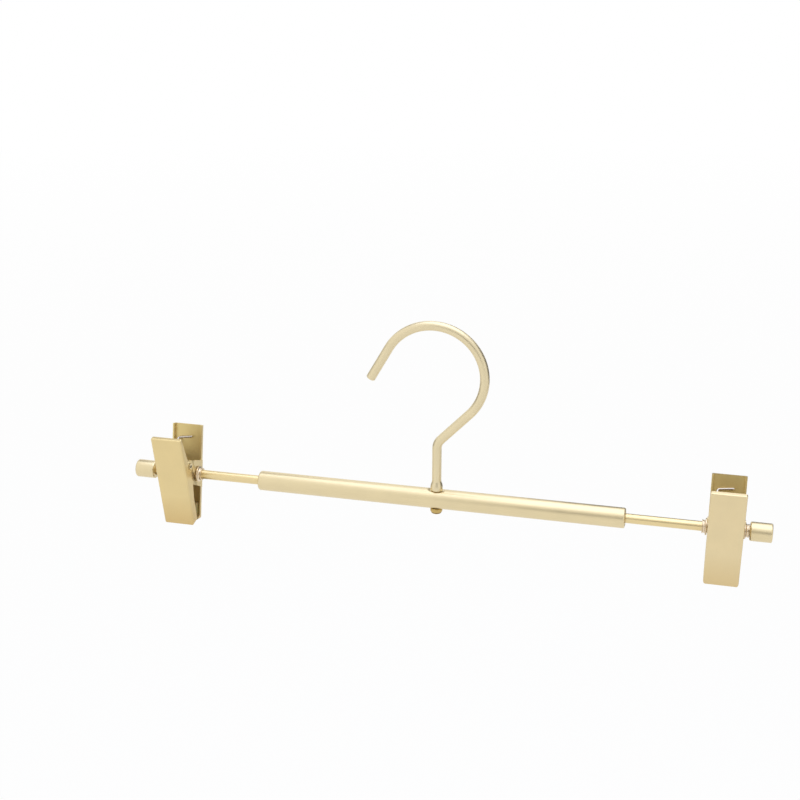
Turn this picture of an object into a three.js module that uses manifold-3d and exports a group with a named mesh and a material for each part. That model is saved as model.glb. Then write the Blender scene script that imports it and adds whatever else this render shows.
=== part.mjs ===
// Skirt hanger: a wire hook swivels in a thick tube, thin rods carry two sprung sheet metal clips.
// Millimetres, +Z up. The origin is where a rail touches the inside of the hook, above the stem.
import * as THREE from 'three';
import { mergeVertices } from 'three/addons/utils/BufferGeometryUtils.js';
import Module from 'manifold-3d';

const wasm = await Module();
wasm.setup();

// Gaps
const seatGap = 0.3;
const turnGap = 0.2;
const overrun = 2.0;

// Hook
const wireRadius = 2.35;
const hookRadius = 25.6;
const hookCentreOffset = -2.4;
const neckFootHeight = 29.8;
const neckLength = 22.95;
const neckBendRadius = 6.5;
const tipLength = 18.7;
const tipStartAngle = 150;
const tipRounding = 0.6;
const shoulderRadius = 3.1;
const shoulderBand = 1.9;
const shoulderFlare = 3.5;
const shoulderEdge = 0.5;
const tenonRadius = 1.8;
const headRadius = 2.6;
const headThickness = 0.8;
const headDomeAngle = 60;
const washerRadius = 3.05;
const washerThickness = 2.2;
const washerEdge = 0.6;

// Bar: tube, plugs, rods and knobs
const tubeRadius = 5.0;
const tubeWall = 1.2;
const tubeLength = 187.5;
const tubeEdge = 0.9;
const seatDepth = 0.6;
const seatMargin = 0.3;
const plugLength = 22.0;
const plugRecess = 0.7;
const plugChamfer = 0.4;
const rodRadius = 2.35;
const rodEdge = 0.3;
const rodReach = 58.0;
const knobRadius = 4.6;
const knobLength = 10.4;
const knobEdge = 0.75;
const knobBoreDepth = 6.5;

// Sleeve that each clip slides and swings on
const sleeveWall = 0.5;
const sleeveBoreGap = 0.15;
const rimRadius = 4.1;
const rimThickness = 0.8;
const rimEdge = 0.3;
const flareLength = 0.8;
const collarLength = 0.3;
const collarRadius = 3.05;
const beadRadius = 3.3;
const beadLength = 0.5;
const beadEdge = 0.15;

// Clip jaws, pressed from sheet
const sheet = 0.8;
const jawWidth = 16.5;
const bendRadius = 1.0;
const topCornerRadius = 0.8;
const tipCornerRadius = 2.0;
const frontTilt = 11.8;
const rearTilt = 10.9;
const rodDepth = 6.5;
const pivotReach = 10.3;
const pivotRise = 5.8;
const pivotDepth = 6.4;
const frontRise = 19.2;
const frontDrop = 33.4;
const frontLipTop = 2.4;
const frontFlangeTop = 1.0;
const frontFlange = 6.4;
const frontFlangeStartDrop = 3.0;
const frontFlangeFullDrop = 9.5;
const frontFlangeTaperDrop = 20.0;
const frontLobeRadius = 3.0;
const rearRise = 25.0;
const rearDrop = 25.8;
const rearFlange = 2.6;
const earRise = 6.2;
const earDrop = 8.3;
const earCornerReach = 4.0;
const earCornerDrop = 5.0;
const earLobeRadius = 3.1;
const joggleLength = 1.3;
const tipGap = 0.5;

// Pivot pin
const pinRadius = 1.2;
const pinBoreRadius = 0.6;
const pinHeadRadius = 1.6;
const pinHeadThickness = 0.3;

// Spring
const springWireRadius = 0.6;
const springRadius = 2.9;
const springCurls = 6;
const springEndGap = 0.7;
const springBarDrop = 7.4;
const springBarLength = 7.8;
const springBarTilt = 7;
const springBendRadius = 1.4;

// Grip pads
const padHeight = 7.6;
const padSideGap = 0.35;
const padGap = 0.3;
const padEdge = 0.7;
const padRibs = 5;
const padRibDepth = 0.35;

// Where the clips stand: the right one at its outer stop, the left one pushed in a little
const leftClipSlip = 3.9;

// Facet counts
const tubeSides = 48;
const knobSides = 40;
const sleeveSides = 32;
const rodSides = 24;
const pinSides = 20;
const wireSides = 18;
const hookArcSteps = 44;
const bendSteps = 5;
const curlSteps = 8;
const curlSides = 5;
const cornerSteps = 4;
const flareSteps = 3;
const lobeSteps = 8;

// Places worked out from the sizes
const radians = THREE.MathUtils.degToRad;
const innerHookRadius = hookRadius - wireRadius;
const neckRise = Math.sqrt(hookRadius ** 2 + neckLength ** 2 - hookCentreOffset ** 2);
const hookCentreHeight = neckFootHeight + neckRise;
const crownDrop = hookCentreHeight + Math.sqrt(innerHookRadius ** 2 - hookCentreOffset ** 2);
const tubeEnd = tubeLength / 2;
const rodEnd = tubeEnd + rodReach;
const knobFace = rodEnd + seatGap;
const seatHeight = tubeRadius - seatDepth;
const sleeveRadius = rodRadius + sleeveBoreGap + sleeveWall;
const rimFace = jawWidth / 2 + seatGap;
const sleeveEnd = rimFace + rimThickness + flareLength + collarLength + beadLength;
const clipStop = knobFace - seatGap - sleeveEnd;
const earInset = sheet + turnGap;
const earReach = pivotReach + rodDepth + earDrop + overrun;

// Materials
const satin = (name, colour, roughness, metalness) =>
  new THREE.MeshStandardMaterial({ name, color: new THREE.Color(colour), roughness, metalness });
const champagne = satin('champagne', '#e3d2a6', 0.38, 0.85);
const champagneJaw = satin('champagne_jaw', '#dfc993', 0.42, 0.85);
const warmGold = satin('warm_gold', '#c9a45c', 0.35, 0.9);
const palePlated = satin('pale_plated', '#e6d3b4', 0.3, 0.8);
const bareSteel = satin('bare_steel', '#c9c4bd', 0.25, 1.0);
const softPad = satin('soft_pad', '#a08a55', 0.7, 0.0);

// Turns a closed three.js geometry into a solid for joining and cutting
function solidOf(geometry) {
  const bare = geometry.index ? geometry.toNonIndexed() : geometry.clone();
  bare.deleteAttribute('normal');
  bare.deleteAttribute('uv');
  const merged = mergeVertices(bare);
  const index = Array.from(merged.index.array);
  const kept = [];
  for (let i = 0; i < index.length; i += 3) {
    const [a, b, c] = index.slice(i, i + 3);
    if (a !== b && b !== c && c !== a) kept.push(a, b, c);
  }
  const mesh = new wasm.Mesh({
    numProp: 3,
    vertProperties: new Float32Array(merged.attributes.position.array),
    triVerts: new Uint32Array(kept),
  });
  return new wasm.Manifold(mesh);
}

// Gives a solid back as a geometry
function geometryOf(solid) {
  const mesh = solid.getMesh();
  const geometry = new THREE.BufferGeometry();
  geometry.setAttribute('position', new THREE.BufferAttribute(new Float32Array(mesh.vertProperties), 3));
  geometry.setIndex(new THREE.BufferAttribute(new Uint32Array(mesh.triVerts), 1));
  geometry.computeVertexNormals();
  return geometry;
}

function node(name, geometry, material) {
  const mesh = new THREE.Mesh(geometry, material);
  mesh.name = name;
  return mesh;
}

function groupOf(...children) {
  const group = new THREE.Group();
  group.add(...children);
  return group;
}

// Revolves [along, radius] points about the X axis
function revolveX(profile, sides) {
  const points = profile.map(([along, radius]) => new THREE.Vector2(radius, along));
  return new THREE.LatheGeometry(points, sides).rotateZ(-Math.PI / 2);
}

// Quarter round on a revolved edge, from the flat end to the side or back
function roundedEdge(end, radius, edge, direction) {
  const centre = end - direction * edge;
  const points = Array.from({ length: cornerSteps + 1 }, (_, i) => {
    const angle = (i / cornerSteps) * Math.PI / 2;
    return [centre + direction * edge * Math.cos(angle), radius - edge + edge * Math.sin(angle)];
  });
  return direction < 0 ? points : points.reverse();
}

// Extrudes an outline drawn in (Y, Z) along X, between two places
function extrudeX(shape, low, high, segments = cornerSteps) {
  const geometry = new THREE.ExtrudeGeometry(shape, {
    depth: high - low,
    bevelEnabled: false,
    curveSegments: segments,
  });
  const axes = new THREE.Matrix4().makeBasis(
    new THREE.Vector3(0, 1, 0),
    new THREE.Vector3(0, 0, 1),
    new THREE.Vector3(1, 0, 0),
  );
  return geometry.applyMatrix4(axes).translate(low, 0, 0);
}

// Extrudes an outline drawn in (X, Y) along Z, between two heights
function extrudeZ(shape, low, high, segments = cornerSteps) {
  const geometry = new THREE.ExtrudeGeometry(shape, {
    depth: high - low,
    bevelEnabled: false,
    curveSegments: segments,
  });
  return geometry.translate(0, 0, low);
}

// Extrudes an outline drawn in (X, Z) along Y, between two places
function extrudeY(shape, low, high, segments = cornerSteps) {
  return extrudeZ(shape, -high, -low, segments).rotateX(Math.PI / 2);
}

function shapeOf(points) {
  return new THREE.Shape(points.map(([a, b]) => new THREE.Vector2(a, b)));
}

function rectangle(lowA, highA, lowB, highB) {
  return shapeOf([[lowA, lowB], [highA, lowB], [highA, highB], [lowA, highB]]);
}

// Rectangle with rounded corners; each corner has its own radius, from the low corner anticlockwise
function roundedRectangle(lowA, highA, lowB, highB, [r1, r2, r3, r4]) {
  const shape = new THREE.Shape();
  shape.moveTo(lowA + r1, lowB);
  shape.lineTo(highA - r2, lowB);
  if (r2 > 0) shape.absarc(highA - r2, lowB + r2, r2, -Math.PI / 2, 0, false);
  shape.lineTo(highA, highB - r3);
  if (r3 > 0) shape.absarc(highA - r3, highB - r3, r3, 0, Math.PI / 2, false);
  shape.lineTo(lowA + r4, highB);
  if (r4 > 0) shape.absarc(lowA + r4, highB - r4, r4, Math.PI / 2, Math.PI, false);
  shape.lineTo(lowA, lowB + r1);
  if (r1 > 0) shape.absarc(lowA + r1, lowB + r1, r1, Math.PI, Math.PI * 1.5, false);
  return shape;
}

function disc(centreA, centreB, radius) {
  const shape = new THREE.Shape();
  shape.absarc(centreA, centreB, radius, 0, Math.PI * 2, false);
  return shape;
}

// Angle, seen from a circle's centre, at which a line from an outside point touches it
function tangentAngle(point, centre, radius, side) {
  const [a, b] = [point[0] - centre[0], point[1] - centre[1]];
  return Math.atan2(b, a) + side * Math.acos(radius / Math.hypot(a, b));
}

function onCircle(centre, radius, angle) {
  return [centre[0] + radius * Math.cos(angle), centre[1] + radius * Math.sin(angle)];
}

// Sweeps a round section through stations of { point, along, radius }
function sweep(stations, sides) {
  const positions = [];
  const indices = [];
  const first = stations[0].along;
  const helper = Math.abs(first.y) < 0.9 ? new THREE.Vector3(0, 1, 0) : new THREE.Vector3(1, 0, 0);
  let across = helper.clone().cross(first).normalize();
  for (const { point, along, radius } of stations) {
    across = across.clone().addScaledVector(along, -across.dot(along)).normalize();
    const other = along.clone().cross(across);
    for (let i = 0; i < sides; i += 1) {
      const angle = (i / sides) * Math.PI * 2;
      const spoke = across.clone().multiplyScalar(Math.cos(angle)).addScaledVector(other, Math.sin(angle));
      positions.push(...point.clone().addScaledVector(spoke, radius).toArray());
    }
  }
  for (let ring = 0; ring < stations.length - 1; ring += 1) {
    for (let i = 0; i < sides; i += 1) {
      const [a, b] = [ring * sides + i, ring * sides + ((i + 1) % sides)];
      indices.push(a, b, b + sides, a, b + sides, a + sides);
    }
  }
  const start = positions.length / 3;
  positions.push(...stations[0].point.toArray(), ...stations.at(-1).point.toArray());
  const lastRing = (stations.length - 1) * sides;
  for (let i = 0; i < sides; i += 1) {
    const next = (i + 1) % sides;
    indices.push(start, next, i, start + 1, lastRing + i, lastRing + next);
  }
  const geometry = new THREE.BufferGeometry();
  geometry.setAttribute('position', new THREE.Float32BufferAttribute(positions, 3));
  geometry.setIndex(indices);
  geometry.computeVertexNormals();
  return geometry;
}

// The hook, in one wire from its tip round to the riveted end under the tube
function hookWire() {
  const stations = [];
  const centre = [hookCentreOffset, hookCentreHeight];
  const foot = [0, neckFootHeight];
  const add = (x, z, alongX, alongZ, radius = wireRadius) => {
    const along = new THREE.Vector3(alongX, 0, alongZ).normalize();
    stations.push({ point: new THREE.Vector3(x, 0, z), along, radius });
  };
  const tipAngle = radians(tipStartAngle);
  const neckAngle = tangentAngle(foot, centre, hookRadius, 1);
  const tipWay = [Math.sin(tipAngle), -Math.cos(tipAngle)];
  const tipStart = onCircle(centre, hookRadius, tipAngle);
  const tipRadii = [wireRadius - tipRounding, wireRadius];
  tipRadii.forEach((radius, i) => {
    const back = tipLength - i * tipRounding;
    add(tipStart[0] - tipWay[0] * back, tipStart[1] - tipWay[1] * back, ...tipWay, radius);
  });
  for (let i = 0; i <= hookArcSteps; i += 1) {
    const angle = THREE.MathUtils.lerp(tipAngle, neckAngle, i / hookArcSteps);
    add(...onCircle(centre, hookRadius, angle), Math.sin(angle), -Math.cos(angle));
  }
  // The neck runs straight to a bend above the stem, whose centre lies to the stem's right
  const neckWay = [Math.sin(neckAngle), -Math.cos(neckAngle)];
  const turn = Math.atan2(-neckWay[0], -neckWay[1]);
  const bendTop = neckFootHeight - neckBendRadius * Math.tan(turn / 2);
  for (let i = 0; i <= bendSteps; i += 1) {
    const angle = turn * (1 - i / bendSteps);
    const [x, z] = [neckBendRadius * (1 - Math.cos(angle)), bendTop + neckBendRadius * Math.sin(angle)];
    add(x, z, -Math.sin(angle), -Math.cos(angle));
  }
  const shoulderFoot = seatHeight + seatGap;
  const washerFoot = -seatHeight - seatGap - washerThickness;
  const headTop = washerFoot - seatGap;
  const stem = [
    [shoulderFoot + shoulderBand + shoulderFlare, wireRadius],
    [shoulderFoot + shoulderBand, shoulderRadius],
    [shoulderFoot + shoulderEdge, shoulderRadius],
    [shoulderFoot, shoulderRadius - shoulderEdge],
    [shoulderFoot, tenonRadius],
    [headTop, tenonRadius],
  ];
  for (let i = 0; i <= cornerSteps; i += 1) {
    const angle = radians(headDomeAngle) * (i / cornerSteps);
    const depth = headThickness * Math.sin(angle) / Math.sin(radians(headDomeAngle));
    stem.push([headTop - depth, headRadius * Math.cos(angle)]);
  }
  stem.forEach(([z, radius]) => add(0, z, 0, -1, radius));
  return sweep(stations, wireSides);
}

// Washer between the tube's lower seat and the riveted end
function stemWasher() {
  const top = -seatHeight - seatGap;
  const bottom = top - washerThickness;
  const bore = tenonRadius + turnGap;
  const profile = [
    [top, bore],
    [bottom, bore],
    [bottom, washerRadius - washerEdge],
    [bottom + washerEdge, washerRadius],
    [top - washerEdge, washerRadius],
    [top, washerRadius - washerEdge],
    [top, bore],
  ];
  return revolveX(profile, sleeveSides).rotateY(-Math.PI / 2);
}

// The tube has rolled ends and, at the middle, two pressed seats with the stem's hole through them
function centreTube() {
  const inner = tubeRadius - tubeWall;
  const body = solidOf(revolveX([
    [-tubeEnd, inner],
    ...roundedEdge(-tubeEnd, tubeRadius, tubeEdge, -1),
    ...roundedEdge(tubeEnd, tubeRadius, tubeEdge, 1),
    [tubeEnd, inner],
    [-tubeEnd, inner],
  ], tubeSides));
  const seat = disc(0, 0, washerRadius + seatMargin);
  const hole = disc(0, 0, tenonRadius + turnGap);
  const beyond = tubeRadius + overrun;
  const cuts = [
    extrudeZ(seat, seatHeight, beyond, lobeSteps * 2),
    extrudeZ(seat, -beyond, -seatHeight, lobeSteps * 2),
    extrudeZ(hole, -beyond, beyond, lobeSteps * 2),
  ];
  return geometryOf(cuts.reduce((rest, cut) => rest.subtract(solidOf(cut)), body));
}

// Plug that holds a rod in the tube's end
function tubePlug(side) {
  const outer = tubeRadius - tubeWall - turnGap;
  const bore = rodRadius + turnGap;
  const far = tubeEnd - plugRecess;
  const near = far - plugLength;
  const plug = revolveX([
    [near, bore],
    [near, outer - plugChamfer],
    [near + plugChamfer, outer],
    [far - plugChamfer, outer],
    [far, outer - plugChamfer],
    [far, bore],
    [near, bore],
  ], sleeveSides);
  return side < 0 ? plug.rotateZ(Math.PI) : plug;
}

function thinRod(side) {
  const near = tubeEnd - plugRecess - plugLength;
  const far = rodEnd + knobBoreDepth;
  const rod = revolveX([
    [near, 0],
    [near, rodRadius - rodEdge],
    [near + rodEdge, rodRadius],
    [far - rodEdge, rodRadius],
    [far, rodRadius - rodEdge],
    [far, 0],
  ], rodSides);
  return side < 0 ? rod.rotateZ(Math.PI) : rod;
}

// Knob with a blind bore for the rod's end
function endKnob(side) {
  const bore = rodRadius + turnGap;
  const boreEnd = rodEnd + knobBoreDepth + seatGap;
  const far = knobFace + knobLength;
  const knob = revolveX([
    [boreEnd, 0],
    [boreEnd, bore],
    [knobFace, bore],
    ...roundedEdge(knobFace, knobRadius, knobEdge, -1),
    ...roundedEdge(far, knobRadius, knobEdge, 1),
    [far, 0],
  ], knobSides);
  return side < 0 ? knob.rotateZ(Math.PI) : knob;
}

// Sleeve with a rim outside each ear and a beaded neck beyond it
function clipSleeve() {
  const bore = rodRadius + sleeveBoreGap;
  const rimEnd = rimFace + rimThickness;
  const flareTop = rimRadius - rimEdge;
  const flare = Array.from({ length: flareSteps + 1 }, (_, i) => {
    const angle = (i / flareSteps) * Math.PI / 2;
    const along = rimEnd + flareLength * (1 - Math.cos(angle));
    return [along, flareTop - (flareTop - collarRadius) * Math.sin(angle)];
  });
  const beadStart = rimEnd + flareLength + collarLength;
  const half = [
    [rimFace, sleeveRadius],
    [rimFace, rimRadius - rimEdge],
    [rimFace + rimEdge, rimRadius],
    [rimEnd - rimEdge, rimRadius],
    ...flare,
    [beadStart, collarRadius],
    [beadStart + beadEdge, beadRadius],
    [sleeveEnd - beadEdge, beadRadius],
    [sleeveEnd, collarRadius],
    [sleeveEnd, bore],
  ];
  const mirrored = half.map(([along, radius]) => [-along, radius]).reverse();
  return revolveX([...mirrored, ...half, mirrored[0]], sleeveSides);
}

// The front jaw is drawn about the pivot, with its outer face at the pivot's depth before it
function frontJaw(lipDepth) {
  const face = -pivotDepth;
  const [top, bottom] = [frontRise, -frontDrop];
  const side = new THREE.Shape();
  side.moveTo(face + bendRadius, bottom);
  side.lineTo(face + lipDepth, bottom);
  side.lineTo(face + lipDepth, -frontFlangeTaperDrop);
  side.lineTo(face + frontFlange, -frontFlangeFullDrop);
  side.lineTo(face + frontFlange, -frontFlangeStartDrop);
  side.lineTo(face + frontFlangeTop + sheet, top - sheet);
  side.lineTo(face + frontLipTop, top - sheet);
  side.lineTo(face + frontLipTop, top);
  side.lineTo(face + bendRadius, top);
  side.absarc(face + bendRadius, top - bendRadius, bendRadius, Math.PI / 2, Math.PI, false);
  side.lineTo(face, bottom + bendRadius);
  side.absarc(face + bendRadius, bottom + bendRadius, bendRadius, Math.PI, Math.PI * 1.5, false);
  const half = jawWidth / 2;
  const blank = solidOf(extrudeX(side, -half, half))
    .add(solidOf(extrudeX(disc(0, 0, frontLobeRadius), -half, half, lobeSteps * 2)));
  const beyond = frontLobeRadius + overrun;
  const bends = [bendRadius, bendRadius, 0, 0];
  const corners = [tipCornerRadius, tipCornerRadius, topCornerRadius, topCornerRadius];
  const section = roundedRectangle(-half, half, face, beyond, bends);
  const front = roundedRectangle(-half, half, bottom, top, corners);
  const hollow = rectangle(face + sheet, beyond, bottom + sheet, top - sheet);
  const pinHole = disc(0, 0, pinRadius + turnGap);
  return geometryOf(blank
    .intersect(solidOf(extrudeZ(section, bottom - overrun, top + overrun)))
    .intersect(solidOf(extrudeY(front, face - overrun, beyond)))
    .subtract(solidOf(extrudeX(hollow, sheet - half, half - sheet)))
    .subtract(solidOf(extrudeX(pinHole, -half - overrun, half + overrun, lobeSteps))));
}

// The ear's outline runs from the rear plate past the rod's hole to a lobe round the pivot
function earOutline() {
  const pivot = [-pivotReach, pivotRise];
  const plate = rodDepth - sheet / 2;
  const lowCorner = [-earCornerReach, -earCornerDrop];
  const highCorner = [plate, earRise];
  const low = tangentAngle(lowCorner, pivot, earLobeRadius, -1);
  const high = tangentAngle(highCorner, pivot, earLobeRadius, 1);
  const shape = new THREE.Shape();
  shape.moveTo(plate, -earDrop);
  shape.lineTo(...highCorner);
  shape.lineTo(...onCircle(pivot, earLobeRadius, high));
  shape.absarc(...pivot, earLobeRadius, high, low + Math.PI * 2, false);
  shape.lineTo(...lowCorner);
  return shape;
}

// Joggled strip that the ear is cut from, as a section across the clip, stepping in towards the pivot
function joggleSection(side) {
  const outer = jawWidth / 2;
  const inner = outer - earInset;
  const start = frontLobeRadius + turnGap;
  const end = start + joggleLength;
  const far = pivotReach + rodDepth + overrun;
  const near = -earLobeRadius - overrun;
  const points = [
    [outer, far],
    [outer - sheet, far],
    [outer - sheet, end],
    [inner - sheet, start],
    [inner - sheet, near],
    [inner, near],
    [inner, start],
    [outer, end],
  ];
  return shapeOf(points.map(([x, y]) => [side * x, y]));
}

// The rear jaw is drawn about the rod, with its outer face behind it
function rearJaw(lipDepth) {
  const half = jawWidth / 2;
  const face = rodDepth;
  const [top, bottom] = [rearRise, -rearDrop];
  const side = new THREE.Shape();
  side.moveTo(face, bottom + bendRadius);
  side.lineTo(face, top);
  side.lineTo(face - rearFlange, top);
  side.lineTo(face - rearFlange, bottom + rearFlange);
  side.lineTo(face - lipDepth, bottom + sheet);
  side.lineTo(face - lipDepth, bottom);
  side.lineTo(face - bendRadius, bottom);
  side.absarc(face - bendRadius, bottom + bendRadius, bendRadius, -Math.PI / 2, 0, false);
  const beyond = face - lipDepth - overrun;
  const bends = [0, 0, bendRadius, bendRadius];
  const corners = [tipCornerRadius, tipCornerRadius, 0, 0];
  const section = roundedRectangle(-half, half, beyond, face, bends);
  const front = roundedRectangle(-half, half, bottom, top, corners);
  const hollow = rectangle(beyond, face - sheet, bottom + sheet, top + overrun);
  const plate = solidOf(extrudeX(side, -half, half))
    .intersect(solidOf(extrudeZ(section, bottom - overrun, top + overrun)))
    .intersect(solidOf(extrudeY(front, beyond, face + overrun)))
    .subtract(solidOf(extrudeX(hollow, sheet - half, half - sheet)));
  const outline = solidOf(extrudeX(earOutline(), -half, half, lobeSteps));
  const ears = [-1, 1].map((hand) => {
    const strip = extrudeZ(joggleSection(hand), -earReach, earReach);
    strip.rotateX(radians(frontTilt + rearTilt)).translate(0, -pivotReach, pivotRise);
    return outline.intersect(solidOf(strip));
  });
  const rodHoleOutline = disc(0, 0, sleeveRadius + turnGap);
  const rodHole = extrudeX(rodHoleOutline, -half - overrun, half + overrun, sleeveSides / 2);
  const pinHole = extrudeX(disc(-pivotReach, pivotRise, pinRadius + turnGap), -half, half, lobeSteps);
  return geometryOf(ears.reduce((rest, ear) => rest.add(ear), plate)
    .subtract(solidOf(rodHole))
    .subtract(solidOf(pinHole)));
}

// Hollow rivet through both jaws, its heads on the front jaw's sides
function pivotPin() {
  const headFace = jawWidth / 2 + turnGap;
  const end = headFace + pinHeadThickness;
  const edge = pinHeadThickness / 3;
  return revolveX([
    [-end, pinBoreRadius],
    [-end, pinHeadRadius - edge],
    [-end + edge, pinHeadRadius],
    [-headFace, pinHeadRadius],
    [-headFace, pinRadius],
    [headFace, pinRadius],
    [headFace, pinHeadRadius],
    [end - edge, pinHeadRadius],
    [end, pinHeadRadius - edge],
    [end, pinBoreRadius],
    [-end, pinBoreRadius],
  ], pinSides);
}

// Turns a (Y, Z) place from a jaw's own frame into the clip's
function turned([y, z], tilt) {
  const [c, s] = [Math.cos(tilt), Math.sin(tilt)];
  return [y * c - z * s, y * s + z * c];
}
const frontTurn = radians(frontTilt);
const rearTurn = -radians(rearTilt);
const pivotPlace = turned([-pivotReach, pivotRise], rearTurn);

function fromFront(place) {
  const [y, z] = turned(place, frontTurn);
  return [y + pivotPlace[0], z + pivotPlace[1]];
}

function toFront([y, z]) {
  return turned([y - pivotPlace[0], z - pivotPlace[1]], -frontTurn);
}

// The jaws close on an upright plane midway between their tips
const frontTip = fromFront([-pivotDepth, -frontDrop]);
const rearTip = turned([rodDepth, -rearDrop], rearTurn);
const gripPlane = (frontTip[0] + rearTip[0]) / 2;
const frontLip = (gripPlane - tipGap / 2 - frontTip[0]) / Math.cos(frontTurn);
const rearLip = (rearTip[0] - gripPlane - tipGap / 2) / Math.cos(rearTurn);

// Torsion spring: a bar on the rear jaw, a leg, the curls round the pin, a leg, a bar on the front jaw
function clipSpring() {
  const seat = sheet + seatGap + springWireRadius;
  const rearBar = turned([rodDepth - seat, rearRise - springBarDrop], rearTurn);
  const frontBar = fromFront([seat - pivotDepth, frontRise - springBarDrop]);
  const rearAngle = tangentAngle(rearBar, pivotPlace, springRadius, -1);
  const frontAngle = tangentAngle(frontBar, pivotPlace, springRadius, 1);
  const sweepAngle = THREE.MathUtils.euclideanModulo(rearAngle - frontAngle, Math.PI * 2);
  const turns = springCurls + sweepAngle / (Math.PI * 2);
  const barTurn = radians(springBarTilt);
  const half = jawWidth / 2 - earInset - sheet - springEndGap - springWireRadius;
  const pitch = half * 2 / turns;
  const stations = [];
  const add = (point, along) => {
    stations.push({ point, along: along.clone().normalize(), radius: springWireRadius });
  };
  const place = (x, [y, z]) => new THREE.Vector3(x, y, z);
  // A bar that climbs its jaw a little and ends in a bend, given from its free end to the leg
  const bar = (x, end, towards, hand, tilt) => {
    const corner = place(x, end);
    const climb = place(0, turned([0, 1], tilt));
    const inward = place(-hand * Math.cos(barTurn), [0, 0]).addScaledVector(climb, Math.sin(barTurn));
    const leg = place(x, towards).sub(corner).normalize();
    const opening = inward.angleTo(leg);
    const centre = inward.clone().add(leg).setLength(springBendRadius / Math.sin(opening / 2)).add(corner);
    const reach = springBendRadius / Math.tan(opening / 2);
    const first = corner.clone().addScaledVector(inward, reach).sub(centre);
    const axis = leg.clone().cross(inward).normalize();
    const outward = inward.clone().negate();
    const list = [[corner.clone().addScaledVector(inward, springBarLength), outward]];
    for (let i = 0; i <= bendSteps; i += 1) {
      const angle = (i / bendSteps) * (Math.PI - opening);
      const point = first.clone().applyAxisAngle(axis, angle).add(centre);
      list.push([point, outward.clone().applyAxisAngle(axis, angle)]);
    }
    return list;
  };
  const rearTouch = onCircle(pivotPlace, springRadius, rearAngle);
  const frontTouch = onCircle(pivotPlace, springRadius, frontAngle);
  bar(-half, rearBar, rearTouch, -1, rearTurn).forEach(([point, along]) => add(point, along));
  const steps = Math.round(turns * curlSteps);
  const advance = pitch / (Math.PI * 2);
  for (let i = 0; i <= steps; i += 1) {
    const angle = rearAngle - (i / steps) * turns * Math.PI * 2;
    const [y, z] = onCircle(pivotPlace, springRadius, angle);
    const [alongY, alongZ] = [Math.sin(angle) * springRadius, -Math.cos(angle) * springRadius];
    const along = new THREE.Vector3(advance, alongY, alongZ);
    add(new THREE.Vector3(-half + (i / steps) * half * 2, y, z), along);
  }
  const coil = stations.slice(-(steps + 1));
  const frontEnd = bar(half, frontBar, frontTouch, 1, frontTurn).reverse();
  frontEnd.forEach(([point, along]) => add(point, along.clone().negate()));
  let least = Infinity;
  coil.forEach((a, i) => coil.slice(i + curlSteps / 2).forEach((b) => {
    least = Math.min(least, a.point.distanceTo(b.point) - springWireRadius * 2);
  }));
  return { geometry: sweep(stations, curlSides), least };
}

// Grip pad: fills the space between a jaw's plate and the grip plane, with ribs across its face
function gripPad(toJaw, plateY, inward, lipZ) {
  const face = gripPlane - inward * padGap / 2;
  const back = plateY + inward * (sheet + seatGap);
  const foot = lipZ + sheet + seatGap;
  const lowFront = fromPlane(toJaw, face, foot);
  const rib = padHeight / padRibs;
  const points = [[back, foot], [lowFront[0], foot]];
  for (let i = 0; i < padRibs; i += 1) {
    const z = foot + i * rib;
    const [crest] = fromPlane(toJaw, face, z + rib / 3);
    const [groove] = fromPlane(toJaw, face - inward * padRibDepth, z + rib * 2 / 3);
    points.push([crest, z + rib / 3], [groove, z + rib * 2 / 3]);
  }
  const head = foot + padHeight;
  const [headFace] = fromPlane(toJaw, face, head);
  points.push([headFace, head], [headFace - inward * padEdge, head + padEdge]);
  points.push([back + inward * padEdge, head + padEdge], [back, head]);
  const ordered = inward > 0 ? points : points.reverse();
  const half = jawWidth / 2 - sheet - padSideGap;
  return extrudeX(shapeOf(ordered), -half, half);
}

// The point of an upright plane, given by its place in the clip's frame, at a height in a jaw's frame
function fromPlane(toJaw, planeY, height) {
  const [a, b] = [toJaw([planeY, 0]), toJaw([planeY, 1])];
  const t = (height - a[1]) / (b[1] - a[1]);
  return [a[0] + (b[0] - a[0]) * t, height];
}

const spring = clipSpring();
console.log(`least gap between the spring's curls: ${spring.least.toFixed(3)} mm`);
const frontJawGeometry = frontJaw(frontLip);
const rearJawGeometry = rearJaw(rearLip);
const frontPadGeometry = gripPad(toFront, -pivotDepth, 1, -frontDrop);
const rearPadGeometry = gripPad((place) => turned(place, -rearTurn), rodDepth, -1, -rearDrop);

// One clip, drawn about its place on the rod
function clip(side, place) {
  const rear = groupOf(
    node(`${side}_rear_jaw`, rearJawGeometry, champagneJaw),
    node(`${side}_rear_pad`, rearPadGeometry, softPad),
  );
  rear.rotation.x = rearTurn;
  const front = groupOf(
    node(`${side}_front_jaw`, frontJawGeometry, champagneJaw),
    node(`${side}_front_pad`, frontPadGeometry, softPad),
    node(`${side}_pivot_pin`, pivotPin(), champagneJaw),
  );
  front.rotation.x = frontTurn;
  front.position.set(0, ...pivotPlace);
  const whole = groupOf(
    rear,
    front,
    node(`${side}_sleeve`, clipSleeve(), palePlated),
    node(`${side}_spring`, spring.geometry, bareSteel),
  );
  whole.position.x = place;
  return whole;
}

const hanger = groupOf(
  node('hook_wire', hookWire(), champagne),
  node('stem_washer', stemWasher(), warmGold),
  node('centre_tube', centreTube(), champagne),
  node('left_tube_plug', tubePlug(-1), champagne),
  node('right_tube_plug', tubePlug(1), champagne),
  node('left_rod', thinRod(-1), champagne),
  node('right_rod', thinRod(1), champagne),
  node('left_knob', endKnob(-1), champagne),
  node('right_knob', endKnob(1), champagne),
  clip('left', leftClipSlip - clipStop),
  clip('right', clipStop),
);
hanger.position.z = -crownDrop;

export default groupOf(hanger);
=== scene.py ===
import math

import bmesh
import bpy
from mathutils import Matrix, Quaternion, Vector

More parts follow.
